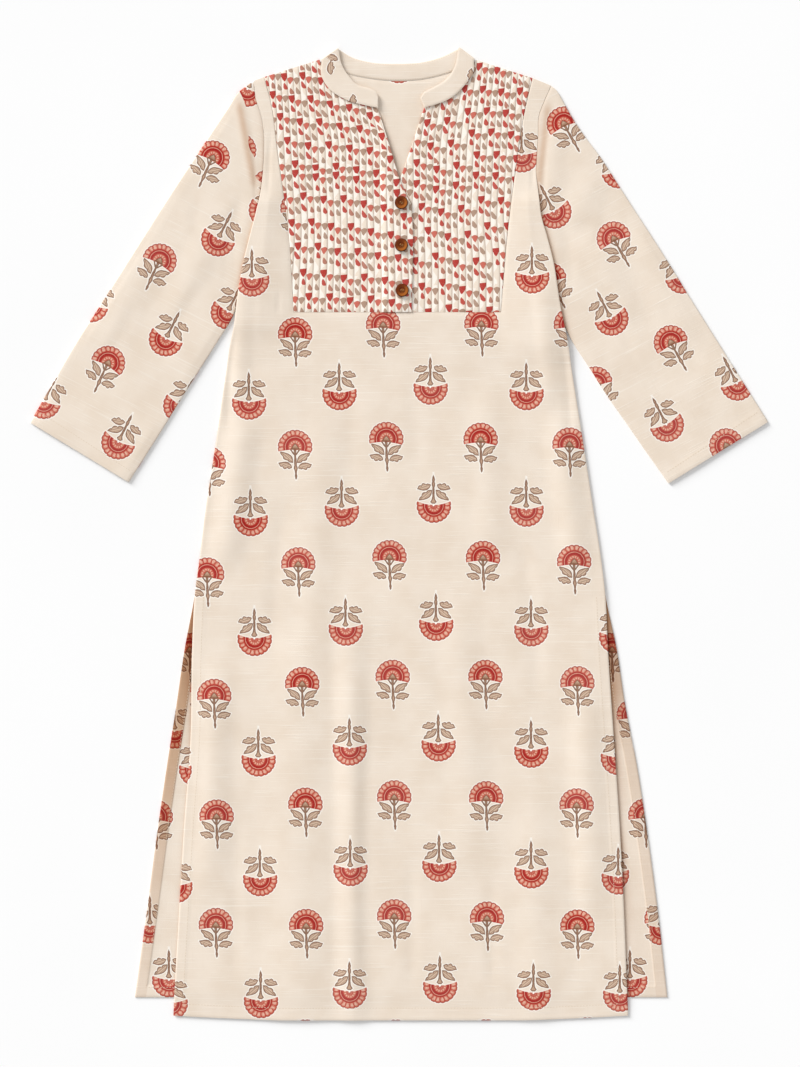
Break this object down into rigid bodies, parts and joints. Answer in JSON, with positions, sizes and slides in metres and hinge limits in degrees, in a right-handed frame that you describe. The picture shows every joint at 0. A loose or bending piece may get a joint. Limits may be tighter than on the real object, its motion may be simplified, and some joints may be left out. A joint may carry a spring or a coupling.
{
  "type": "kurta tunic laid flat",
  "caption": "Long printed cotton tunic laid flat, front up, with a pintucked bib, band collar, V neck, three-quarter sleeves and side slits.",
  "frame": {"origin": "on the surface that the garment lies on, under the middle of its bounding box", "axes": "+X across the garment to the viewer's right, +Y from the hem to the collar, +Z off the surface, out of the front"},
  "size_m": [0.9314, 1.2281, 0.0084],
  "materials": {
    "printed_cotton": "matt slubbed cotton with a red and taupe flower print",
    "bib_cotton": "matt pintucked cotton with a small red, salmon and taupe print",
    "coconut_shell": "polished"
  },
  "bodies": {
    "root": {"back_panel": "printed_cotton", "front_panel": "printed_cotton", "yoke_left": "bib_cotton", "yoke_right": "bib_cotton", "collar": "printed_cotton", "sleeve_left": "printed_cotton", "sleeve_right": "printed_cotton", "button_1": "coconut_shell", "button_2": "coconut_shell", "button_3": "coconut_shell"}
  },
  "joints": []
}
